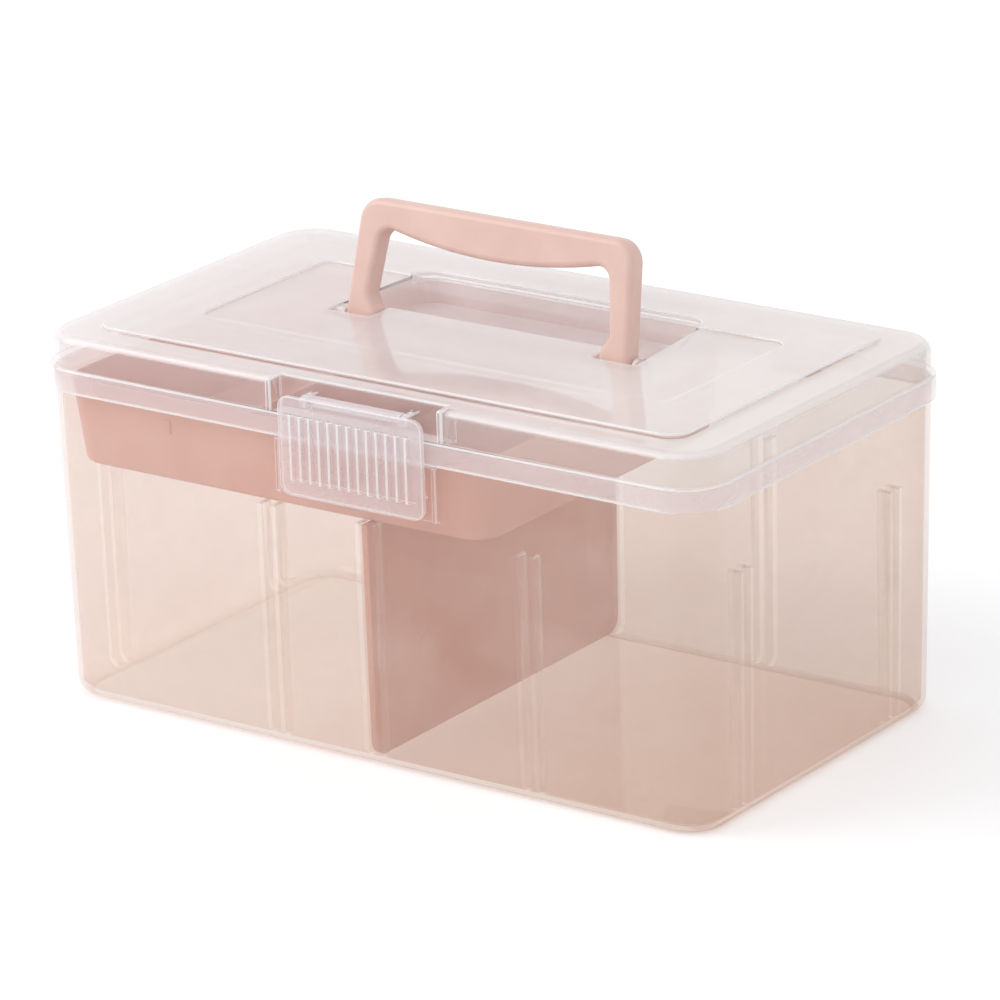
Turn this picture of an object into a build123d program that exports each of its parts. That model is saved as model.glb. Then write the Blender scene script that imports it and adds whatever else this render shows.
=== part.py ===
from build123d import *
import os
from math import cos, radians, sin, tan

# A clear storage case with a lift-up lid, a front snap latch, a folding carry handle,
# a tray that stands on the moulded channels and a plate that divides the space below.
# X runs along the length, Y from front to back, Z up; the origin is under the middle of the case.

os.makedirs("parts", exist_ok=True)

# Tub: outer size at the rim, walls leaning in by the moulding draft
tub_length = 296.2
tub_depth = 166.4
tub_height = 129.6
tub_corner_radius = 17.0
tub_wall = 2.0
tub_floor = 2.4
tub_draft = 0.83
tub_foot_radius = 6.0
tub_inner_foot = 2.6

# Channels: pairs of ribs on the walls, which hold dividers and carry the tray on their tops
channel_rib = 2.0
channel_gap = 4.1
channel_depth = 6.0
long_wall_channels = (-44.5, 0.0, 70.0)
end_wall_channels = (-50.0, 50.0)

# Lid: a skirt round the tub's rim, a wall flush with the tub, and a stepped top
skirt_gap = 0.3
skirt_thickness = 1.6
skirt_drop = 7.2
skirt_rise = 2.1
lid_wall = 2.0
lid_rise = 14.4
shoulder_radius = 4.5
border_length = 262.0
border_depth = 140.0
border_radius = 9.0
border_rise = 1.8
panel_length = 209.5
panel_depth = 80.7
panel_radius = 5.5
panel_y = 1.3
panel_drop = 1.3
lid_inner_shoulder = 1.5

# Handle recess in the lid, with a slot at each end for the handle's feet
recess_depth = 11.5
recess_front_y = -6.0
recess_back_y = 50.5
recess_front_half = 69.5
recess_back_half = 64.3
recess_radius = 9.0
slot_inner_half = 50.0
slot_back_y = 7.0
slot_radius = 1.5

# Carry handle, measured from its pivot along its legs
handle_lean = 12.3
pivot_y = 1.5
pivot_below_panel = 3.5
handle_reach = 45.5
handle_top_half = 61.0
handle_foot_half = 64.2
handle_depth = 9.5
handle_corner_radius = 9.0
leg_width = 10.1
toe_reach = 3.7
toe_height = 3.5
toe_slope = 6.3
grip_end_thickness = 10.0
grip_middle_thickness = 16.4
grip_inner_radius = 5.0
handle_edge_bevel = 1.6
foot_flat = 0.2
stub_pin_radius = 2.0
stub_pin_grip = 5.0
pin_fit = 0.06
boss_radius = 3.4
boss_gap = 0.6

# Latch: a plate hung on a bar in a notch of the lid's front wall
latch_width = 64.0
latch_thickness = 2.0
latch_skirt_gap = 0.3
latch_height = 37.7
latch_corner_radius = 4.5
latch_above_bar = 2.2
latch_bar_height = 5.5
latch_bar_radius = 1.5
latch_bar_half = 21.0
latch_clip_wall = 1.15
latch_clip_mouth = 2.4
clip_side_gap = 0.3
bar_lug_width = 3.0
bar_lug_radius = 2.3
notch_half = 37.0
notch_flange = 2.5
notch_swing_gap = 0.3
notch_set_back = 0.3
finger_rib_count = 13
finger_rib_pitch = 4.3
finger_rib_radius = 1.2
finger_rib_length = 25.0
finger_rib_bottom = 6.2
catch_height = 5.7
catch_lip = 0.35
catch_bead = 0.7
catch_spacing = 3.0
keep_half = 36.0
keep_drop = 21.0
keep_gap = 0.4
keep_thickness = 1.0
keep_flange = 2.0
keep_flange_rise = 0.9

# Rear hinges: pins between ears on the tub, open hooks on the lid
hinge_x = 80.0
hinge_drop = 10.6
hinge_pin_radius = 1.4
hinge_hook_wall = 1.14
hinge_hook_half = 9.7
hinge_hook_mouth = 2.2
hinge_hook_arm = 1.6
hinge_hook_climb = 4.0
hinge_heel = 2.35
hinge_side_gap = 0.3
hinge_ear = 3.0
hinge_gusset = 4.5
hinge_wall_gap = 0.35

# Tray: open box with one cross wall, which hangs in the tub's mouth with room all round
tray_side_gap = 2.155
tray_end_gap = 5.055
tray_below_rim = 3.1
tray_length = 196.5
tray_height = 33.0
tray_wall = 1.8
tray_floor = 2.0
tray_radius = 12.0
tray_end_lean = 5.2
tray_side_lean = 2.0
tray_foot_bevel = 1.4
tray_rib_place = 87.0
tray_rib_drop = 0.5

# Divider plate in the middle channel
divider_thickness = 2.8
divider_side_gap = 0.5
divider_tray_gap = 0.5
divider_corner = 6.0
divider_gate_radius = 2.6
divider_gate_depth = 0.4
divider_gate_y = -47.0
divider_gate_height = 48.0

# Heights that follow from the sizes above
draft_slope = tan(radians(tub_draft))
rim_z = tub_height
skirt_bottom = rim_z - skirt_drop
skirt_top = rim_z + skirt_rise
shoulder_z = rim_z + lid_rise
border_z = shoulder_z + border_rise
panel_z = border_z - panel_drop
recess_floor = panel_z - recess_depth
pivot_z = panel_z - pivot_below_panel
tray_rim = rim_z - tray_below_rim
tray_z = tray_rim - tray_height
channel_height = tray_z

# Depths that follow, measured forward or back from the middle
skirt_outer = tub_depth / 2 + skirt_gap + skirt_thickness
latch_back = skirt_outer + latch_skirt_gap
latch_front = latch_back + latch_thickness
latch_clip_radius = latch_bar_radius + pin_fit + latch_clip_wall
latch_bar_y = -(latch_back - latch_clip_radius)
latch_bar_z = skirt_top + latch_bar_height
latch_top = latch_bar_z + latch_above_bar
latch_bottom = latch_top - latch_height
hinge_hook_radius = hinge_pin_radius + pin_fit + hinge_hook_wall
hinge_z = rim_z - hinge_drop


def tub_half_depth(z):
    """Half the tub's outer depth at a height, the wall leaning in below the rim."""
    return tub_depth / 2 - (rim_z - z) * draft_slope


def tub_half_length(z):
    """Half the tub's outer length at a height."""
    return tub_length / 2 - (rim_z - z) * draft_slope


hinge_y = tub_half_depth(hinge_z) + hinge_wall_gap + hinge_hook_radius

# ---------------------------------------------------------------------------
# Tub, with channels, keep plate and hinge ears moulded in one piece

keep_top = skirt_bottom - keep_gap
keep_bottom = keep_top - keep_drop
keep_face = tub_half_depth(keep_top) + keep_thickness
ear_inner = hinge_hook_half + hinge_side_gap

with BuildPart() as box_body:
    for z in (0, rim_z):
        with BuildSketch(Plane.XY.offset(z)):
            Rectangle(2 * tub_half_length(z), 2 * tub_half_depth(z))
    loft(ruled=True)
    fillet(box_body.edges().group_by(Axis.Z)[1], tub_corner_radius)
    fillet(box_body.edges().group_by(Axis.Z)[0], tub_foot_radius)

    # Hollow with a bevelled foot, less the channel ribs, made as one block and taken out
    front_reach = tub_half_depth(channel_height) - tub_wall - channel_depth
    end_reach = tub_half_length(channel_height) - tub_wall - channel_depth
    rib_offset = (channel_gap + channel_rib) / 2
    with BuildPart(mode=Mode.PRIVATE) as tub_hollow:
        foot_inset = tub_wall + tub_inner_foot
        for z, inset in ((tub_floor, foot_inset), (tub_floor + tub_inner_foot, tub_wall), (rim_z, tub_wall)):
            inner_length = 2 * (tub_half_length(z) - inset)
            inner_depth = 2 * (tub_half_depth(z) - inset)
            with BuildSketch(Plane.XY.offset(z)):
                RectangleRounded(inner_length, inner_depth, tub_corner_radius - inset)
        loft(ruled=True)
        with BuildSketch():
            for x in long_wall_channels:
                for side in (-1, 1):
                    with Locations((x + side * rib_offset, 0)):
                        Rectangle(channel_rib, tub_depth)
                        Rectangle(channel_rib, 2 * front_reach, mode=Mode.SUBTRACT)
            for y in end_wall_channels:
                for side in (-1, 1):
                    with Locations((0, y + side * rib_offset)):
                        Rectangle(tub_length - 2 * tub_wall, channel_rib)
                        Rectangle(2 * end_reach, channel_rib, mode=Mode.SUBTRACT)
        extrude(amount=channel_height, mode=Mode.SUBTRACT)
    add(tub_hollow.part, mode=Mode.SUBTRACT)

    # Keep plate on the front wall, with a flange at each side and the catch bead
    keep_root = tub_half_depth(keep_bottom) - tub_wall / 2
    with BuildSketch(Plane.XY.offset(keep_bottom)):
        with Locations((0, -(keep_face + keep_root) / 2)):
            Rectangle(2 * keep_half, keep_face - keep_root)
        flange_front = keep_face + keep_flange_rise
        for side in (-1, 1):
            with Locations((side * (keep_half - keep_flange / 2), -(flange_front + keep_root) / 2)):
                Rectangle(keep_flange, flange_front - keep_root)
    extrude(amount=keep_drop)
    catch_z = latch_bottom + catch_height
    with BuildSketch(Plane.YZ.offset(-latch_width / 2)):
        with Locations((-keep_face, catch_z + catch_spacing)):
            Circle(catch_bead)
    extrude(amount=latch_width)

    # Hinge ears behind the back wall, and the pin between each pair
    ear_root = tub_half_depth(hinge_z) - tub_wall / 2
    for centre in (-hinge_x, hinge_x):
        for side in (-1, 1):
            ear_start = centre + side * (ear_inner + hinge_ear / 2) - hinge_ear / 2
            with BuildSketch(Plane.YZ.offset(ear_start)):
                with Locations((hinge_y, hinge_z)):
                    Circle(hinge_hook_radius)
                with BuildLine():
                    Polyline(
                        (ear_root, hinge_z + hinge_hook_radius),
                        (hinge_y, hinge_z + hinge_hook_radius),
                        (hinge_y, hinge_z - hinge_hook_radius),
                        (ear_root, hinge_z - hinge_hook_radius - hinge_gusset),
                        close=True,
                    )
                make_face()
            extrude(amount=hinge_ear)
        with BuildSketch(Plane.YZ.offset(centre - ear_inner)):
            with Locations((hinge_y, hinge_z)):
                Circle(hinge_pin_radius)
        extrude(amount=2 * ear_inner)

box_body.part.label = "box_body"
export_step(box_body.part, "parts/box_body.step")

# ---------------------------------------------------------------------------
# Lid: stepped shell with the handle recess, latch notch, latch bar and hinge hooks


def recess_outline(grow):
    """Recess seen from above, made larger all round by a wall; its feet slots run forward."""
    with BuildSketch() as outline:
        with BuildLine():
            Polyline(
                (-recess_front_half, recess_front_y),
                (-slot_inner_half, recess_front_y),
                (-slot_inner_half, slot_back_y),
                (slot_inner_half, slot_back_y),
                (slot_inner_half, recess_front_y),
                (recess_front_half, recess_front_y),
                (recess_back_half, recess_back_y),
                (-recess_back_half, recess_back_y),
                close=True,
            )
        make_face()
        fillet(outline.vertices().group_by(Axis.Y)[-1], recess_radius)
        fillet(outline.vertices().group_by(Axis.Y)[0], slot_radius)
        if grow:
            offset(amount=grow, kind=Kind.INTERSECTION)
    return outline.sketch


skirt_corner_radius = tub_corner_radius + skirt_gap + skirt_thickness
skirt_length = tub_length + 2 * (skirt_gap + skirt_thickness)
rim_room = 2 * skirt_gap
crown_room = -2 * lid_wall
latch_swing = (latch_above_bar**2 + (latch_front + latch_bar_y) ** 2) ** 0.5
notch_back = -(latch_bar_y + latch_swing + notch_swing_gap)
notch_outer = skirt_outer - notch_set_back
side_at_pivot = recess_front_half - (pivot_y - recess_front_y) * (recess_front_half - recess_back_half) / (
    recess_back_y - recess_front_y
)
foot_outer = handle_foot_half + boss_gap

with BuildPart() as lid:
    with BuildSketch(Plane.XY.offset(skirt_bottom)):
        RectangleRounded(skirt_length, 2 * skirt_outer, skirt_corner_radius)
    extrude(amount=skirt_drop + skirt_rise)
    with BuildPart(mode=Mode.PRIVATE) as crown:
        with BuildSketch(Plane.XY.offset(rim_z)):
            RectangleRounded(tub_length, tub_depth, tub_corner_radius)
        extrude(amount=lid_rise)
        fillet(crown.edges().group_by(Axis.Z)[-1], shoulder_radius)
    add(crown.part)
    with BuildSketch(Plane.XY.offset(shoulder_z)):
        RectangleRounded(border_length, border_depth, border_radius)
    extrude(amount=border_rise)

    # Hollow: room for the rim, then the crown's inside, then the steps under the top
    with BuildSketch(Plane.XY.offset(skirt_bottom)):
        RectangleRounded(tub_length + rim_room, tub_depth + rim_room, tub_corner_radius + skirt_gap)
    extrude(amount=skirt_drop, mode=Mode.SUBTRACT)
    with BuildPart(mode=Mode.PRIVATE) as crown_hollow:
        with BuildSketch(Plane.XY.offset(rim_z)):
            RectangleRounded(tub_length + crown_room, tub_depth + crown_room, tub_corner_radius - lid_wall)
        extrude(amount=lid_rise - lid_wall)
        chamfer(crown_hollow.edges().group_by(Axis.Z)[-1], lid_inner_shoulder)
    add(crown_hollow.part, mode=Mode.SUBTRACT)
    with BuildSketch(Plane.XY.offset(shoulder_z - lid_wall)):
        RectangleRounded(border_length + crown_room, border_depth + crown_room, border_radius - lid_wall)
    extrude(amount=border_rise, mode=Mode.SUBTRACT)
    with BuildSketch(Plane.XY.offset(panel_z - lid_wall)):
        with Locations((0, panel_y)):
            RectangleRounded(panel_length + 2 * lid_wall, panel_depth + 2 * lid_wall, panel_radius + lid_wall)
    extrude(amount=lid_wall)

    # Sunk panel
    with BuildSketch(Plane.XY.offset(panel_z)):
        with Locations((0, panel_y)):
            RectangleRounded(panel_length, panel_depth, panel_radius)
    extrude(amount=border_z - panel_z, mode=Mode.SUBTRACT)

    # Handle recess: its tray-like shell under the top, then the opening
    with BuildSketch(Plane.XY.offset(recess_floor - lid_wall)):
        add(recess_outline(lid_wall))
    extrude(amount=recess_depth)
    with BuildSketch(Plane.XY.offset(recess_floor)):
        add(recess_outline(0))
    extrude(amount=border_z - recess_floor, mode=Mode.SUBTRACT)

    # Bosses that carry the handle's stub pins
    for side in (-1, 1):
        with BuildSketch(Plane.YZ.offset(side * foot_outer)):
            with Locations((pivot_y, pivot_z)):
                Circle(boss_radius)
        extrude(amount=side * (side_at_pivot + lid_wall / 2 - foot_outer))
        with BuildSketch(Plane.YZ.offset(side * foot_outer)):
            with Locations((pivot_y, pivot_z)):
                Circle(stub_pin_radius + pin_fit)
        extrude(amount=side * (side_at_pivot + 2 * lid_wall - foot_outer), mode=Mode.SUBTRACT)

    # Latch notch: a pocket in the front wall, open in front and on top
    with BuildSketch(Plane.XY.offset(rim_z)):
        with Locations((0, -(notch_outer + notch_back - lid_wall) / 2)):
            Rectangle(2 * (notch_half + notch_flange), notch_outer - notch_back + lid_wall)
    extrude(amount=shoulder_z - rim_z)
    with BuildSketch(Plane.XY.offset(skirt_top)):
        with Locations((0, -(notch_outer + notch_back) / 2)):
            Rectangle(2 * notch_half, notch_outer - notch_back)
    extrude(amount=shoulder_z - skirt_top, mode=Mode.SUBTRACT)

    # Latch bar and its two lugs
    for side in (-1, 1):
        lug_start = side * (latch_bar_half + bar_lug_width / 2) - bar_lug_width / 2
        with BuildSketch(Plane.YZ.offset(lug_start)):
            with Locations((latch_bar_y, latch_bar_z)):
                Circle(bar_lug_radius)
            with Locations(((latch_bar_y - notch_back - lid_wall / 2) / 2, latch_bar_z)):
                Rectangle(lid_wall / 2 - notch_back - latch_bar_y, 2 * bar_lug_radius)
        extrude(amount=bar_lug_width)
    with BuildSketch(Plane.YZ.offset(-latch_bar_half)):
        with Locations((latch_bar_y, latch_bar_z)):
            Circle(latch_bar_radius)
    extrude(amount=2 * latch_bar_half)

    # Hinge hooks: ring open towards the tub, square heel below, arm up the skirt
    for centre in (-hinge_x, hinge_x):
        with BuildSketch(Plane.YZ.offset(centre - hinge_hook_half)):
            with Locations((hinge_y, hinge_z)):
                Circle(hinge_hook_radius)
            with Locations((hinge_y + hinge_heel / 2, hinge_z - hinge_heel / 2)):
                Rectangle(hinge_heel, hinge_heel)
            with BuildLine():
                Polyline(
                    (skirt_outer - skirt_thickness / 2, skirt_bottom),
                    (skirt_outer, hinge_z),
                    (hinge_y + hinge_hook_arm, hinge_z),
                    (hinge_y + hinge_hook_arm, skirt_bottom),
                    (skirt_outer - skirt_thickness / 2, skirt_bottom + hinge_hook_climb),
                    close=True,
                )
            make_face()
            with Locations((hinge_y, hinge_z)):
                Circle(hinge_pin_radius + pin_fit, mode=Mode.SUBTRACT)
            with Locations(Location((hinge_y, hinge_z), 225)):
                with Locations((hinge_hook_radius, 0)):
                    Rectangle(2 * hinge_hook_radius, hinge_hook_mouth, mode=Mode.SUBTRACT)
        extrude(amount=2 * hinge_hook_half)

lid.part.label = "lid"
export_step(lid.part, "parts/lid.step")

# ---------------------------------------------------------------------------
# Carry handle, drawn flat on the plane in which it leans back

lean = radians(handle_lean)
handle_plane = Plane(
    origin=(0, pivot_y, pivot_z), x_dir=(1, 0, 0), z_dir=(0, -cos(lean), sin(lean))
)
foot_end = -handle_depth / 2
grip_end_level = handle_reach - grip_end_thickness
grip_middle_level = handle_reach - grip_middle_thickness
leg_inner_top = handle_top_half - leg_width
leg_inner_foot = handle_foot_half - leg_width
toe_half = leg_inner_foot - toe_reach

with BuildSketch() as handle_outline:
    with BuildLine():
        Polyline(
            (leg_inner_top, grip_end_level),
            (leg_inner_foot, toe_height + toe_slope),
            (toe_half, toe_height),
            (toe_half, foot_end),
            (handle_foot_half, foot_end),
            (handle_top_half, handle_reach),
            (-handle_top_half, handle_reach),
            (-handle_foot_half, foot_end),
            (-toe_half, foot_end),
            (-toe_half, toe_height),
            (-leg_inner_foot, toe_height + toe_slope),
            (-leg_inner_top, grip_end_level),
        )
        ThreePointArc(
            (-leg_inner_top, grip_end_level),
            (0, grip_middle_level),
            (leg_inner_top, grip_end_level),
        )
    make_face()
    fillet(handle_outline.vertices().group_by(Axis.Y)[-1], handle_corner_radius)
    grip_corners = handle_outline.vertices().filter_by(lambda v: abs(v.Y - grip_end_level) < 0.01)
    fillet(grip_corners, grip_inner_radius)

with BuildPart() as carry_handle:
    with BuildSketch(handle_plane):
        add(handle_outline.sketch)
    extrude(amount=handle_depth / 2, both=True)
    foot_edges = carry_handle.edges().filter_by(Axis.X).group_by(Axis.Z)[:2]
    for edges in foot_edges:
        fillet(edges, handle_depth / 2 - foot_flat)
    broad_faces = carry_handle.faces().sort_by(SortBy.AREA)[-2:]
    chamfer(broad_faces.edges(), handle_edge_bevel)
    for side in (-1, 1):
        with BuildSketch(Plane.YZ.offset(side * (leg_inner_foot + leg_width / 2))):
            with Locations((pivot_y, pivot_z)):
                Circle(stub_pin_radius)
        extrude(amount=side * (foot_outer + stub_pin_grip - leg_inner_foot - leg_width / 2))

carry_handle.part.label = "carry_handle"
export_step(carry_handle.part, "parts/carry_handle.step")

# ---------------------------------------------------------------------------
# Latch: plate with finger ribs in front, and the clip and catch lip behind

with BuildPart() as latch_clip:
    with BuildSketch(Plane.XZ.offset(latch_back)):
        with Locations((0, (latch_top + latch_bottom) / 2)):
            RectangleRounded(latch_width, latch_height, latch_corner_radius)
    extrude(amount=latch_thickness)
    with BuildSketch(Plane.XY.offset(latch_bottom + finger_rib_bottom)):
        with Locations((0, -latch_front)):
            with GridLocations(finger_rib_pitch, 0, finger_rib_count, 1):
                Circle(finger_rib_radius)
    extrude(amount=finger_rib_length)

    # Clip round the bar, open at the back so that it snaps on
    clip_half = latch_bar_half - clip_side_gap
    clip_back = latch_back + latch_thickness / 2
    with BuildSketch(Plane.YZ.offset(-clip_half)):
        with Locations((latch_bar_y, latch_bar_z)):
            Circle(latch_clip_radius)
        clip_root_z = latch_bar_z + (latch_above_bar - latch_clip_radius) / 2
        with Locations(((latch_bar_y - clip_back) / 2, clip_root_z)):
            Rectangle(clip_back + latch_bar_y, latch_clip_radius + latch_above_bar)
        with Locations((latch_bar_y, latch_bar_z)):
            Circle(latch_bar_radius + pin_fit, mode=Mode.SUBTRACT)
        with Locations((latch_bar_y + latch_clip_radius / 2, latch_bar_z)):
            Rectangle(latch_clip_radius, latch_clip_mouth, mode=Mode.SUBTRACT)
    extrude(amount=2 * clip_half)

    # Catch lip along the inside
    lip_half = latch_width / 2 - latch_corner_radius
    with BuildSketch(Plane.YZ.offset(-lip_half)):
        with BuildLine():
            Polyline(
                (-latch_back - latch_thickness / 2, catch_z - 2 * catch_bead),
                (-latch_back, catch_z - 2 * catch_bead),
                (-latch_back + catch_lip, catch_z - catch_bead / 2),
                (-latch_back + catch_lip, catch_z + catch_bead / 2),
                (-latch_back, catch_z + catch_bead),
                (-latch_back - latch_thickness / 2, catch_z + catch_bead),
                close=True,
            )
        make_face()
    extrude(amount=2 * lip_half)

latch_clip.part.label = "latch_clip"
export_step(latch_clip.part, "parts/latch_clip.step")

# ---------------------------------------------------------------------------
# Tray: its walls flare towards the rim; one cross wall

tray_depth = 2 * (tub_half_depth(tray_rim) - tub_wall - tray_side_gap)
tray_left = tub_wall + tray_end_gap - tub_half_length(tray_rim)
tray_middle = tray_left + tray_length / 2


def tray_block(inset, floor_z):
    """Flared block of the tray's outline, drawn in by a wall, from a bevelled foot to the rim."""
    with BuildPart(mode=Mode.PRIVATE) as block:
        for z, foot in ((floor_z, tray_foot_bevel), (floor_z + tray_foot_bevel, 0), (tray_rim, 0)):
            lean = (tray_rim - z) / tray_height
            block_length = tray_length - 2 * (tray_end_lean * lean + inset + foot)
            block_depth = tray_depth - 2 * (tray_side_lean * lean + inset + foot)
            with BuildSketch(Plane.XY.offset(z)):
                with Locations((tray_middle, 0)):
                    RectangleRounded(block_length, block_depth, tray_radius - inset - foot)
        loft(ruled=True)
    return block.part


with BuildPart() as tray:
    add(tray_block(0, tray_z))
    add(tray_block(tray_wall, tray_z + tray_floor), mode=Mode.SUBTRACT)
    rib_low = tray_depth / 2 - tray_side_lean - tray_wall / 2
    rib_high = tray_depth / 2 - tray_wall / 2
    rib_top = tray_rim - tray_rib_drop
    with BuildSketch(Plane.YZ.offset(tray_left + tray_rib_place - tray_wall / 2)):
        with BuildLine():
            Polyline(
                (-rib_low, tray_z + tray_floor / 2),
                (rib_low, tray_z + tray_floor / 2),
                (rib_high, rib_top),
                (-rib_high, rib_top),
                close=True,
            )
        make_face()
    extrude(amount=tray_wall)

tray.part.label = "tray"
export_step(tray.part, "parts/tray.step")

# ---------------------------------------------------------------------------
# Divider: plate that follows the drafted walls, with the round mark of its moulding gate

divider_top = tray_z - divider_tray_gap
divider_low = tub_half_depth(tub_floor) - tub_wall - divider_side_gap
divider_high = tub_half_depth(divider_top) - tub_wall - divider_side_gap

with BuildPart() as divider:
    with BuildSketch(Plane.YZ.offset(long_wall_channels[1] - divider_thickness / 2)) as divider_face:
        with BuildLine():
            Polyline(
                (-divider_low, tub_floor),
                (divider_low, tub_floor),
                (divider_high, divider_top),
                (-divider_high, divider_top),
                close=True,
            )
        make_face()
        fillet(divider_face.vertices().group_by(Axis.Y)[0], divider_corner)
    extrude(amount=divider_thickness)
    with BuildSketch(Plane.YZ.offset(long_wall_channels[1] + divider_thickness / 2)):
        with Locations((divider_gate_y, divider_gate_height)):
            Circle(divider_gate_radius)
    extrude(amount=-divider_gate_depth, mode=Mode.SUBTRACT)

divider.part.label = "divider"
export_step(divider.part, "parts/divider.step")
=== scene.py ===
from math import radians

import bmesh
import bpy
from mathutils import Matrix, Vector


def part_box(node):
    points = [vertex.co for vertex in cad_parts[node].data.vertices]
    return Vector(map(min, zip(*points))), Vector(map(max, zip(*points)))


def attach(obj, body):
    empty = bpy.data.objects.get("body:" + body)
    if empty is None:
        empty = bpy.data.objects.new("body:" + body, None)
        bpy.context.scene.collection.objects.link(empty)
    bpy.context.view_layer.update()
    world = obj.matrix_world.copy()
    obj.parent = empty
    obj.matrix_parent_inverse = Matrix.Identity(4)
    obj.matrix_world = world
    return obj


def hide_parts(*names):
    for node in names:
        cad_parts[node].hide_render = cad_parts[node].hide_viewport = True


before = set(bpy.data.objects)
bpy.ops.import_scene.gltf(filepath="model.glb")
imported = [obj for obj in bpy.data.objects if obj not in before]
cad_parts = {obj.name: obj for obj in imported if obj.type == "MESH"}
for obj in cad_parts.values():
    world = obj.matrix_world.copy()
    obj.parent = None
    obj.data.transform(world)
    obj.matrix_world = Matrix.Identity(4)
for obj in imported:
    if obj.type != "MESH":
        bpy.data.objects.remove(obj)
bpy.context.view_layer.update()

# ---------------------------------------------------------------------------
# Camera: stands to the right of the front, a little above, and looks at the latch side and the right
# end through a long lens, so that the case hardly tapers.
camera_data = bpy.data.cameras.new("camera")
camera_data.sensor_width = 36.0
camera_data.lens = 217.117
camera = bpy.data.objects.new("camera", camera_data)
camera_place = Matrix.Translation((1.24177, -1.72492, 0.81175))
camera_turn = Matrix.Rotation(radians(35.678), 4, "Z")
camera_tilt = Matrix.Rotation(radians(90 - 19.031), 4, "X")
camera_roll = Matrix.Rotation(radians(-1.698), 4, "Z")
camera.matrix_world = camera_place @ camera_turn @ camera_tilt @ camera_roll
bpy.context.scene.collection.objects.link(camera)
bpy.context.scene.camera = camera
bpy.context.scene.view_settings.view_transform = "Standard"

# ---------------------------------------------------------------------------
# Studio: a white sweep of paper under the case, an even white room, and one broad lamp high at the
# left of the latch side, as for a catalogue picture.


def linear(colour):
    """An sRGB hex colour as the linear numbers that the shaders take."""
    parts = [int(colour[i : i + 2], 16) / 255 for i in (1, 3, 5)]
    return (*(c / 12.92 if c <= 0.04045 else ((c + 0.055) / 1.055) ** 2.4 for c in parts), 1.0)


def add_node(tree, kind, settings=None, inputs=None):
    """One shader node with its settings; an input is a value or another node's socket."""
    made = tree.nodes.new(kind)
    for name, value in (settings or {}).items():
        setattr(made, name, value)
    for socket, value in (inputs or {}).items():
        if isinstance(value, bpy.types.NodeSocket):
            tree.links.new(value, made.inputs[socket])
        else:
            made.inputs[socket].default_value = value
    return made


def empty_material(name):
    """A material whose node tree holds only its output, and that output."""
    material = bpy.data.materials.new(name)
    material.use_nodes = True
    material.node_tree.nodes.clear()
    return material, add_node(material.node_tree, "ShaderNodeOutputMaterial")


def looked_at(tree):
    """A socket that is 1 where the camera, glass or gloss looks, and 0 where light is gathered."""
    rays = add_node(tree, "ShaderNodeLightPath")
    largest = {"operation": "MAXIMUM"}
    through = {0: rays.outputs["Is Camera Ray"], 1: rays.outputs["Is Transmission Ray"]}
    straight = add_node(tree, "ShaderNodeMath", largest, through)
    mirrored = {0: straight.outputs[0], 1: rays.outputs["Is Glossy Ray"]}
    return add_node(tree, "ShaderNodeMath", largest, mirrored).outputs[0]


# Matt white paper: it looks white wherever it is seen, and it keeps the case's shadow
paper_lift = 0.2
paper, paper_end = empty_material("matt_white_paper")
paper_tree = paper.node_tree
lift = add_node(
    paper_tree, "ShaderNodeMath", {"operation": "MULTIPLY"}, {0: looked_at(paper_tree), 1: paper_lift}
)
white = add_node(paper_tree, "ShaderNodeBsdfDiffuse", None, {"Color": linear("#F6F6F6")})
glow = add_node(
    paper_tree, "ShaderNodeEmission", None, {"Color": linear("#FFFFFF"), "Strength": lift.outputs[0]}
)
both = add_node(paper_tree, "ShaderNodeAddShader", None, {0: white.outputs[0], 1: glow.outputs[0]})
paper_tree.links.new(both.outputs[0], paper_end.inputs["Surface"])

floor_radius = 6.0
floor_shape = bmesh.new()
bmesh.ops.create_circle(floor_shape, cap_ends=True, segments=96, radius=floor_radius)
floor_mesh = bpy.data.meshes.new("floor")
floor_shape.to_mesh(floor_mesh)
floor_shape.free()
floor = bpy.data.objects.new("floor", floor_mesh)
bpy.context.scene.collection.objects.link(floor)
floor.data.materials.append(paper)

world = bpy.data.worlds.new("white_room")
bpy.context.scene.world = world
world.use_nodes = True
room_tree = world.node_tree
room_tree.nodes.clear()
room = add_node(
    room_tree, "ShaderNodeBackground", None, {"Color": linear("#F6F8FB"), "Strength": 0.88}
)
backdrop = add_node(
    room_tree, "ShaderNodeBackground", None, {"Color": linear("#FFFFFF"), "Strength": 1.0}
)
chosen = add_node(
    room_tree,
    "ShaderNodeMixShader",
    None,
    {0: looked_at(room_tree), 1: room.outputs[0], 2: backdrop.outputs[0]},
)
add_node(room_tree, "ShaderNodeOutputWorld", None, {"Surface": chosen.outputs[0]})

key_data = bpy.data.lights.new("key_softbox", "AREA")
key_data.shape = "RECTANGLE"
key_data.size = 1.3
key_data.size_y = 1.1
key_data.energy = 13.0
key_data.color = (1.0, 0.985, 0.965)
key = bpy.data.objects.new("key_softbox", key_data)
key_place = Vector((-1.2, -1.0, 1.25))
key_aim = Vector((0.0, 0.0, 0.08)) - key_place
key.matrix_world = Matrix.Translation(key_place) @ key_aim.to_track_quat("-Z", "Y").to_matrix().to_4x4()
bpy.context.scene.collection.objects.link(key)

# ---------------------------------------------------------------------------
# Tub: clear polypropylene, injection moulded, with the channel ribs, keep plate and hinge ears in one
# piece. Walls 2 mm thick let sight through straight, with a warm, slightly milky cast.
weld_distance = 1e-6
flat_within = radians(0.4)
rounded_from = radians(28)
crease = radians(40)


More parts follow.
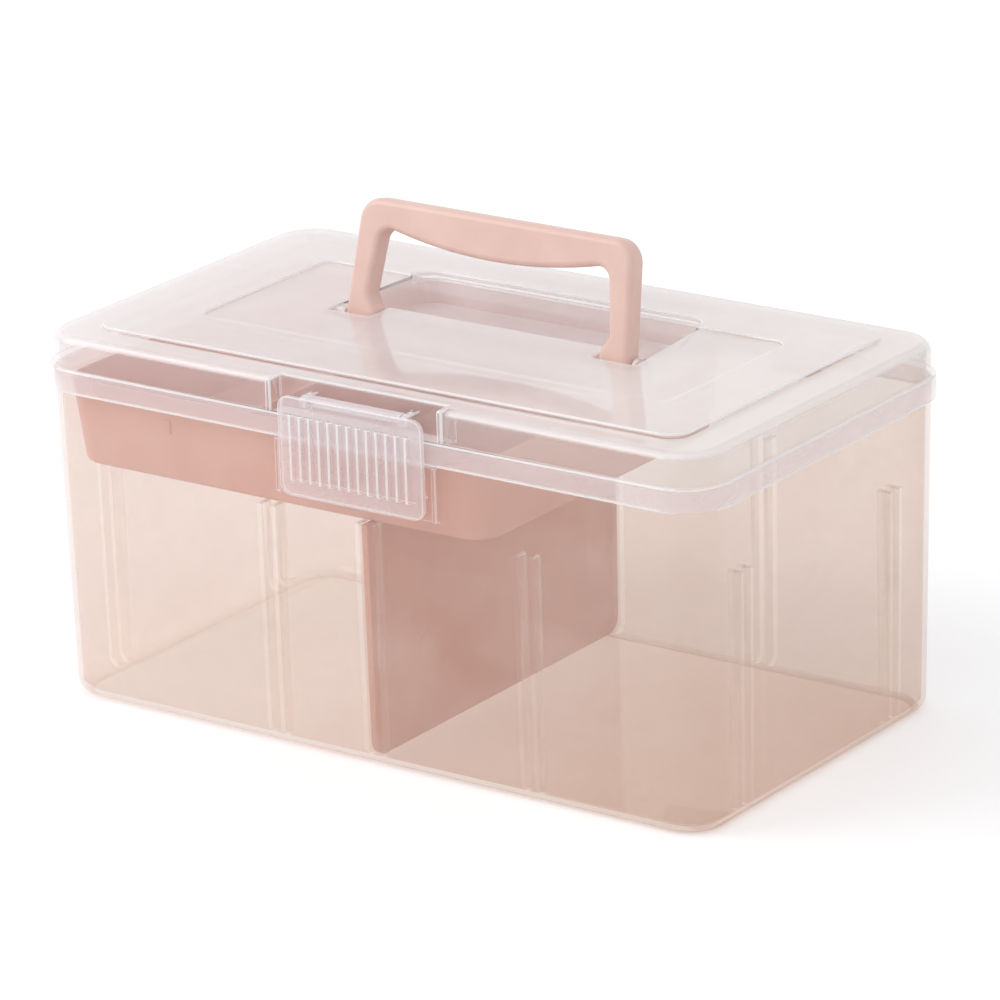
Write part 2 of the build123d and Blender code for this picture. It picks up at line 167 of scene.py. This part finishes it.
def clear_plastic(name, tint, milk_colour, walls, top, slopes=0.0, shaded_end_tint=None, glancing=0.9):
    """Moulded clear plastic: a faint tint, and a milkiness of its own on the walls. The extra milk on the
    top
    and on slopes is painted light: a painted sheen of the light from above on level faces, and a painted
    highlight on slopes near 45 degrees.

    With a shaded end tint, the colour darkens from the first at the left end to that at the right end, as
    painted shade at the end away from the lamp. Glancing is how much the skin mirrors at the edge of sight."""
    at_depth = 0.2
    cloud_depth = 0.05
    light_passed_on = 0.4
    head_on = 0.04
    material, end = empty_material(name)
    tree = material.node_tree
    place = add_node(tree, "ShaderNodeTexCoord")

    # Level faces take more milk than walls, a painted sheen of the light from above, and rounded slopes
    # take the most near 45 degrees, a painted highlight
    slope = add_node(tree, "ShaderNodeSeparateXYZ", None, {0: place.outputs["Normal"]})
    up = add_node(
        tree, "ShaderNodeMath", {"operation": "MULTIPLY"}, {0: slope.outputs["Z"], 1: slope.outputs["Z"]}
    )
    level = add_node(tree, "ShaderNodeMath", {"operation": "SUBTRACT"}, {0: 1.0, 1: up.outputs[0]})
    slope_highlight = add_node(
        tree, "ShaderNodeMath", {"operation": "MULTIPLY"}, {0: up.outputs[0], 1: level.outputs[0]}
    )
    slope_highlight = add_node(tree, "ShaderNodeMath", {"operation": "MULTIPLY"}, {0: slope_highlight.outputs[0], 1: 4.0})
    slope_highlight = add_node(tree, "ShaderNodeMath", {"operation": "POWER"}, {0: slope_highlight.outputs[0], 1: 3.0})
    sum_of_product = {"operation": "MULTIPLY_ADD"}
    flat = add_node(tree, "ShaderNodeMath", sum_of_product, {0: up.outputs[0], 1: top - walls, 2: walls})
    milk_and_painted_light = add_node(
        tree, "ShaderNodeMath", sum_of_product, {0: slope_highlight.outputs[0], 1: slopes, 2: flat.outputs[0]}
    )

    # A wall seen along its length is looked through at greater depth
    facing = add_node(tree, "ShaderNodeLayerWeight", None, {"Blend": 0.5})
    grazing = add_node(
        tree, "ShaderNodeMath", {"operation": "POWER"}, {0: facing.outputs["Facing"], 1: 3.0}
    )
    haze_and_painted_light = add_node(
        tree,
        "ShaderNodeMath",
        {"operation": "MULTIPLY_ADD", "use_clamp": True},
        {0: grazing.outputs[0], 1: at_depth, 2: milk_and_painted_light.outputs[0]},
    )

    # Uneven flow of the melt, as soft clouds about 50 mm across and 30 mm high
    stretch = add_node(
        tree,
        "ShaderNodeMapping",
        None,
        {"Vector": place.outputs["Object"], "Scale": (20.0, 20.0, 34.0)},
    )
    flow = add_node(
        tree,
        "ShaderNodeTexNoise",
        None,
        {
            "Vector": stretch.outputs[0],
            "Scale": 1.0,
            "Detail": 3.0,
            "Roughness": 0.55,
            "Distortion": 0.2,
        },
    )
    cloud = add_node(
        tree,
        "ShaderNodeMapRange",
        None,
        {
            "Value": flow.outputs[0],
            "From Min": 0.3,
            "From Max": 0.7,
            "To Min": -cloud_depth,
            "To Max": cloud_depth,
        },
    )
    haze_and_painted_light = add_node(
        tree,
        "ShaderNodeMath",
        {"operation": "ADD", "use_clamp": True},
        {0: haze_and_painted_light.outputs[0], 1: cloud.outputs[0]},
    )

    through = add_node(tree, "ShaderNodeBsdfTransparent", None, {"Color": linear(tint)})
    # A shaded end tint darkens the see-through colour towards the right end: painted shade at the end away
    # from the lamp
    if shaded_end_tint:
        along = add_node(tree, "ShaderNodeSeparateXYZ", None, {0: place.outputs["Object"]})
        end_shade = add_node(
            tree,
            "ShaderNodeMapRange",
            None,
            {
                "Value": along.outputs["X"],
                "From Min": -0.05,
                "From Max": 0.14,
                "To Min": 0.0,
                "To Max": 1.0,
            },
        )
        colour = add_node(
            tree,
            "ShaderNodeMix",
            {"data_type": "RGBA"},
            {0: end_shade.outputs[0], 6: linear(tint), 7: linear(shaded_end_tint)},
        )
        tree.links.new(colour.outputs[2], through.inputs["Color"])
    front = add_node(tree, "ShaderNodeBsdfDiffuse", None, {"Color": linear(milk_colour)})
    back = add_node(tree, "ShaderNodeBsdfTranslucent", None, {"Color": linear(milk_colour)})
    milky = add_node(
        tree, "ShaderNodeMixShader", None, {0: light_passed_on, 1: front.outputs[0], 2: back.outputs[0]}
    )
    body = add_node(
        tree, "ShaderNodeMixShader", None, {0: haze_and_painted_light.outputs[0], 1: through.outputs[0], 2: milky.outputs[0]}
    )

    # Polypropylene's refractive index of 1.49 mirrors 4% head on, and more towards the edge of sight
    fifth = add_node(
        tree, "ShaderNodeMath", {"operation": "POWER"}, {0: facing.outputs["Facing"], 1: 5.0}
    )
    mirror = add_node(
        tree, "ShaderNodeMath", sum_of_product, {0: fifth.outputs[0], 1: glancing, 2: head_on}
    )
    gloss = add_node(
        tree, "ShaderNodeBsdfGlossy", None, {"Color": linear("#FFFFFF"), "Roughness": 0.06}
    )
    surface = add_node(
        tree, "ShaderNodeMixShader", None, {0: mirror.outputs[0], 1: body.outputs[0], 2: gloss.outputs[0]}
    )
    tree.links.new(surface.outputs[0], end.inputs["Surface"])
    return material


def rounded(shape, edges, radius, steps):
    """Rounds edges of a shape to a radius, and gives the faces of the rounding."""
    rounding = bmesh.ops.bevel(
        shape,
        geom=edges,
        offset=radius,
        offset_type="OFFSET",
        affect="EDGES",
        segments=steps,
        profile=0.5,
        material=-1,
    )
    return rounding["faces"]


def in_scene(shape, name, materials):
    """An object in the scene of a finished shape, shaded smooth but at its creases."""
    for face in shape.faces:
        face.smooth = True
    mesh = bpy.data.meshes.new(name)
    shape.to_mesh(mesh)
    shape.free()
    mesh.set_sharp_from_angle(angle=crease)
    piece = bpy.data.objects.new(name, mesh)
    bpy.context.scene.collection.objects.link(piece)
    for material in materials:
        piece.data.materials.append(material)
    return piece


def moulded_copy(node, body, edge_radius, materials, edges_above=0.0):
    """A copy of a CAD node's mesh, merged, with its sharp edges rounded as the mould's are.

    Faces of the rounding take the second material, where there is one."""
    shape = bmesh.new()
    shape.from_mesh(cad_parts[node].data)
    bmesh.ops.remove_doubles(shape, verts=shape.verts, dist=weld_distance)
    bmesh.ops.dissolve_limit(shape, angle_limit=flat_within, verts=shape.verts, edges=shape.edges)
    for face in shape.faces:
        face.material_index = 0
    sharp = [e for e in shape.edges if e.is_manifold and e.is_convex and e.calc_face_angle() > rounded_from]
    sharp = [e for e in sharp if min(v.co.z for v in e.verts) >= edges_above]
    rounding = rounded(shape, sharp, edge_radius, 2)
    if len(materials) > 1:
        for face in rounding:
            face.material_index = 1
    bmesh.ops.remove_doubles(shape, verts=shape.verts, dist=2 * weld_distance)
    bmesh.ops.dissolve_degenerate(shape, dist=weld_distance, edges=shape.edges)
    piece = in_scene(shape, node + "_moulding", materials)
    even = piece.modifiers.new("even_shading", "WEIGHTED_NORMAL")
    even.weight = 50
    even.keep_sharp = True
    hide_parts(node)
    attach(piece, body)
    return piece


# Unpigmented polypropylene as moulded: the walls look clear and faintly warm, with a tint that darkens
# towards the right end as painted shade, and the roundings of the outer edges are painted milky white as
# highlight lines
tub_plastic = clear_plastic(
    "clear_polypropylene_tub", "#F9F4F1", "#FAF3EF", walls=0.06, top=0.06, shaded_end_tint="#F7F1ED"
)
tub_edge_highlight = clear_plastic("clear_polypropylene_tub_edges", "#FFFFFF", "#FFFEFD", walls=0.5, top=0.5)
tub_rib_light = clear_plastic(
    "clear_polypropylene_tub_ribs", "#FFFEFD", "#FFFFFE", walls=0.03, top=0.3, glancing=0.1
)
tub_floor_shade = clear_plastic(
    "clear_polypropylene_tub_floor", "#FCF8F5", "#F8F0EB", walls=0.05, top=0.05, shaded_end_tint="#EBDACF"
)
plain, edge, rib, inside_floor = range(4)
tub_finishes = [tub_plastic, tub_edge_highlight, tub_rib_light, tub_floor_shade]
tub_edge_radius = 0.0006
foot_edges_top = 0.01
tub = moulded_copy("box_body", "case", tub_edge_radius, tub_finishes, foot_edges_top)

# The channel ribs are painted with almost no tint and milky tips, painted light for the bright room that
# they refract, and the floor's tint darkens and warms strongly towards the right end, painted shade
long_wall_channels = (-0.0445, 0.0, 0.07)
end_wall_channels = (-0.05, 0.05)
pair_half_width = 0.0042
long_wall_ribs = (0.0700, 0.0815)
end_wall_ribs = (0.1280, 0.1465)
rib_tip_y = 0.0765
rib_tip_x = 0.1410
tub_rim_edges_z = 0.125
floor_faces_z = 0.003
channel_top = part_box("tray")[0].z
for face in tub.data.polygons:
    across, along = abs(face.center.x), abs(face.center.y)
    by_long_wall = any(abs(face.center.x - x) < pair_half_width for x in long_wall_channels)
    by_end_wall = any(abs(face.center.y - y) < pair_half_width for y in end_wall_channels)
    on_long = by_long_wall and long_wall_ribs[0] < along < long_wall_ribs[1]
    on_end = by_end_wall and end_wall_ribs[0] < across < end_wall_ribs[1]
    if face.material_index == edge:
        if face.center.z > tub_rim_edges_z:
            face.material_index = plain
        continue
    if on_long and (abs(face.normal.x) > 0.7 or along < rib_tip_y):
        face.material_index = rib
    elif on_end and (abs(face.normal.y) > 0.7 or across < rib_tip_x):
        face.material_index = rib
    elif abs(face.center.z - channel_top) < 0.0005 and face.normal.z > 0.9 and (on_long or on_end):
        face.material_index = rib
    elif abs(face.normal.z) > 0.9 and face.center.z < floor_faces_z:
        face.material_index = inside_floor

# ---------------------------------------------------------------------------
# Lid: the same clear polypropylene, moulded with its stepped top, handle recess and latch notch, and
# hung on the tub's pins. Its flat top is given four times the milk of its sides, a painted sheen of the
# light from above, and its rounded shoulders more, a painted highlight; its sides stay clear, and its tint
# darkens towards the right end as painted shade.
lid_plastic = clear_plastic(
    "clear_polypropylene_lid", "#FCFBFB", "#FFFCFC", walls=0.13, top=0.52, slopes=0.55, shaded_end_tint="#F5F3F1"
)
# The roundings of the lid's edges are painted milky white: painted highlight lines
lid_edge_highlight = clear_plastic("clear_polypropylene_lid_edges", "#FFFFFF", "#FFFFFF", walls=0.85, top=0.85)
lid_ledges = clear_plastic("clear_polypropylene_lid_ledges", "#FDFCFC", "#FFFDFC", walls=0.06, top=0.06)
# The skirt's extra milk is partly its two skins and partly a painted highlight band
lid_skirt = clear_plastic(
    "clear_polypropylene_lid_skirt", "#FCFAFB", "#FFFCFE", walls=0.26, top=0.28, slopes=0.3
)
# The recess walls' heavy milk is painted light that lifts the shade in the recess
lid_recess = clear_plastic(
    "clear_polypropylene_lid_recess", "#FCFBFB", "#FFFBFB", walls=0.5, top=0.52, slopes=0.3
)
lid_finishes = [lid_plastic, lid_edge_highlight, lid_ledges, lid_skirt, lid_recess]
ledge, skirt, recess = range(2, 5)
lid_edge_radius = 0.00075
lid = moulded_copy("lid", "lid", lid_edge_radius, lid_finishes)

# The ledges that meet the tub's rim lie under the skirt, in its shade, and are left clear, without the
# top's painted sheen. The skirt has two skins and is given more milk, partly for those skins and partly as
# a painted highlight band, and the recess's walls are the milkiest, painted light that lifts the shade in
# the recess
ledges_top = 0.136
skirt_top = 0.1317
skirt_inside = (0.1485, 0.0836)
rim_inside = (0.1400, 0.0760)
recess_half_length = 0.0720
recess_front, recess_back = 0.0, 0.0560
for face in lid.data.polygons:
    across, along = abs(face.center.x), abs(face.center.y)
    under_skirt = across < skirt_inside[0] and along < skirt_inside[1]
    by_rim = across > rim_inside[0] or along > rim_inside[1]
    if face.center.z < ledges_top and under_skirt and by_rim:
        if abs(face.normal.z) > 0.5 or face.material_index == edge:
            face.material_index = ledge
    if face.center.z < skirt_top and abs(face.normal.z) < 0.5 and face.material_index == plain:
        face.material_index = skirt
    if across < recess_half_length and recess_front < face.center.y < recess_back:
        if abs(face.normal.z) < 0.7 and face.material_index == plain:
            face.material_index = recess

# ---------------------------------------------------------------------------
# Latch: a clear plate with finger ribs, moulded in polypropylene in one piece with the clip that snaps
# on the lid's bar. The crests of its ribs and its rounded edges take the lid's milky white edge finish,
# painted highlight lines.
latch_plastic = clear_plastic(
    "clear_polypropylene_latch", "#FCFAFB", "#FFFBFC", walls=0.26, top=0.3, slopes=0.1
)
latch_edge_radius = 0.0003
latch = moulded_copy("latch_clip", "latch", latch_edge_radius, [latch_plastic, lid_edge_highlight])
crests_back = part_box("latch_clip")[0].y + latch_edge_radius
# The crest faces take the white edge finish: painted highlight lines
for face in latch.data.polygons:
    if face.center.y < crests_back and face.normal.y < -0.95:
        face.material_index = edge

# ---------------------------------------------------------------------------
# Handle: pale pink polypropylene, moulded solid in one piece. Its stub pins snap between the bosses of
# the lid's recess, and its feet stand in the slots beside them.


def pink_plastic(name, colour, shade, roughness):
    """Moulded coloured plastic: even colour with a faint mottle and slow waves in the skin."""
    material, end = empty_material(name)
    tree = material.node_tree
    place = add_node(tree, "ShaderNodeTexCoord")
    # Pigment that is not quite evenly mixed, in patches about 15 mm across
    mottle = add_node(
        tree, "ShaderNodeTexNoise", None, {"Vector": place.outputs["Object"], "Scale": 60.0, "Detail": 3.0}
    )
    amount = add_node(
        tree,
        "ShaderNodeMapRange",
        None,
        {"Value": mottle.outputs[0], "From Min": 0.35, "From Max": 0.7, "To Min": 0.0, "To Max": 1.0},
    )
    tone = add_node(
        tree,
        "ShaderNodeMix",
        {"data_type": "RGBA"},
        {0: amount.outputs[0], 6: linear(colour), 7: linear(shade)},
    )
    # Slow waves in the skin where the melt cooled, about 5 mm across
    waves = add_node(
        tree, "ShaderNodeTexNoise", None, {"Vector": place.outputs["Object"], "Scale": 200.0, "Detail": 1.0}
    )
    bump = add_node(
        tree, "ShaderNodeBump", None, {"Strength": 0.03, "Distance": 0.0003, "Height": waves.outputs[0]}
    )
    skin = add_node(
        tree,
        "ShaderNodeBsdfPrincipled",
        None,
        {
            "Base Color": tone.outputs[2],
            "Roughness": roughness,
            "IOR": 1.49,
            "Normal": bump.outputs[0],
        },
    )
    tree.links.new(skin.outputs[0], end.inputs["Surface"])
    return material


# Pigmented polypropylene as moulded: opaque, with a soft sheen along its rounded edges
handle_plastic = pink_plastic("pink_polypropylene_handle", "#E8C6BA", "#E3BEB1", 0.38)
handle_edge_radius = 0.0009
moulded_copy("carry_handle", "handle", handle_edge_radius, [handle_plastic])

# ---------------------------------------------------------------------------
# Tray: the same pink polypropylene with 1.8 mm walls, moulded with one cross wall, and lifted out by hand.
# Its walls flare so that it leaves the mould, and its rim and foot are rounded.
tray_plastic = pink_plastic("pink_polypropylene_tray", "#F0C8BE", "#ECC1B6", 0.36)
tray_low, tray_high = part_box("tray")
tray_wall = 0.0018
tray_end_lean = 0.004
tray_side_lean = 0.002
tray_corner_radius = 0.012
tray_foot_radius = 0.0018
tray_rim_radius = 0.0005
cross_wall_x = tray_low.x + 0.087


def flared_block(low, high, end_lean, side_lean):
    """A block between two corners, whose foot is drawn in at its ends and sides."""
    block = bmesh.new()
    bmesh.ops.create_cube(block, size=1.0)
    bmesh.ops.scale(block, vec=high - low, verts=block.verts)
    bmesh.ops.translate(block, vec=(low + high) / 2, verts=block.verts)
    middle = (low + high) / 2
    for corner in (v for v in block.verts if v.co.z < middle.z):
        corner.co.x += end_lean if corner.co.x < middle.x else -end_lean
        corner.co.y += side_lean if corner.co.y < middle.y else -side_lean
    return block


def moulded_on(shape, part, name):
    """Adds a part's faces to the shape that it is moulded in one with."""
    mesh = bpy.data.meshes.new(name)
    part.to_mesh(mesh)
    part.free()
    shape.from_mesh(mesh)
    bpy.data.meshes.remove(mesh)


tray_shape = flared_block(tray_low, tray_high, tray_end_lean, tray_side_lean)
uprights = [e for e in tray_shape.edges if abs(e.verts[0].co.z - e.verts[1].co.z) > 0.01]
rounded(tray_shape, uprights, tray_corner_radius, 10)
foot_edges = [e for e in tray_shape.edges if all(abs(v.co.z - tray_low.z) < 1e-5 for v in e.verts)]
rounded(tray_shape, foot_edges, tray_foot_radius, 4)
mouth = [f for f in tray_shape.faces if f.normal.z > 0.99]
bmesh.ops.delete(tray_shape, geom=mouth, context="FACES")
bmesh.ops.recalc_face_normals(tray_shape, faces=tray_shape.faces)
bmesh.ops.solidify(tray_shape, geom=tray_shape.faces, thickness=tray_wall)
rim = [e for e in tray_shape.edges if all(abs(v.co.z - tray_high.z) < 4e-4 for v in e.verts)]
rim = [e for e in rim if e.is_manifold and e.calc_face_angle() > radians(60)]
rounded(tray_shape, rim, tray_rim_radius, 2)

cross_low = Vector((cross_wall_x - tray_wall / 2, tray_low.y + tray_wall / 2, tray_low.z + 0.001))
cross_high = Vector(
    (cross_wall_x + tray_wall / 2, tray_high.y - tray_wall / 2, tray_high.z - tray_rim_radius)
)
cross_wall = flared_block(cross_low, cross_high, 0.0, tray_side_lean)
top_edges = [e for e in cross_wall.edges if all(v.co.z > cross_high.z - 1e-5 for v in e.verts)]
long_edges = [e for e in top_edges if abs(e.verts[0].co.y - e.verts[1].co.y) > 0.01]
rounded(cross_wall, long_edges, tray_rim_radius, 2)
moulded_on(tray_shape, cross_wall, "cross_wall")

lug_low = Vector((-0.0924, tray_low.y + 0.0001, 0.1123))
lug_high = Vector((-0.0890, tray_low.y + tray_wall, 0.1175))
lug = flared_block(lug_low, lug_high, 0.0, 0.0)
rounded(lug, lug.edges[:], 0.0003, 2)
moulded_on(tray_shape, lug, "lug")
bmesh.ops.recalc_face_normals(tray_shape, faces=tray_shape.faces)
tray_piece = in_scene(tray_shape, "tray_moulding", [tray_plastic])
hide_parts("tray")
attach(tray_piece, "tray")

# ---------------------------------------------------------------------------
# Divider: a flat plate moulded in the same pink polypropylene and pushed down between the channel ribs,
# with the round mark of an ejector pin on the face that looks right.
# Its pink is set a little darker than the tray's: painted shade, where the plate stands inside the tub
divider_plastic = pink_plastic("pink_polypropylene_divider", "#E9C0B4", "#E5BAAE", 0.4)
divider_low, divider_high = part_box("divider")
divider_side_lean = 0.00131
divider_corner_radius = 0.006
divider_edge_radius = 0.0004
plate_high = Vector((-divider_low.x, divider_high.y, divider_high.z))
plate = flared_block(divider_low, plate_high, 0.0, divider_side_lean)
foot_corners = [e for e in plate.edges if all(v.co.z < divider_low.z + 1e-5 for v in e.verts)]
foot_corners = [e for e in foot_corners if abs(e.verts[0].co.x - e.verts[1].co.x) > 0.001]
rounded(plate, foot_corners, divider_corner_radius, 8)
outer_edges = [e for e in plate.edges if e.calc_face_angle() > radians(60)]
rounded(plate, outer_edges, divider_edge_radius, 2)

ejector_radius = 0.0055
ejector_step = 0.00012
ejector_place = (plate_high.x, -0.0456, 0.0363)
mark = bmesh.new()
bmesh.ops.create_circle(mark, cap_ends=True, segments=48, radius=ejector_radius)
raised = bmesh.ops.extrude_face_region(mark, geom=mark.faces[:])
raised_verts = [v for v in raised["geom"] if isinstance(v, bmesh.types.BMVert)]
bmesh.ops.translate(mark, vec=(0.0, 0.0, ejector_step), verts=raised_verts)
bmesh.ops.rotate(mark, cent=(0, 0, 0), matrix=Matrix.Rotation(radians(90), 3, "Y"), verts=mark.verts)
bmesh.ops.translate(mark, vec=ejector_place, verts=mark.verts)
moulded_on(plate, mark, "ejector_mark")
bmesh.ops.recalc_face_normals(plate, faces=plate.faces)
divider_piece = in_scene(plate, "divider_moulding", [divider_plastic])
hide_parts("divider")
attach(divider_piece, "case")

# ---------------------------------------------------------------------------
# Sight passes through many skins of clear plastic, and each has two faces, so the renderer is allowed 48
# see-through hits.
bpy.context.scene.cycles.transparent_max_bounces = 48
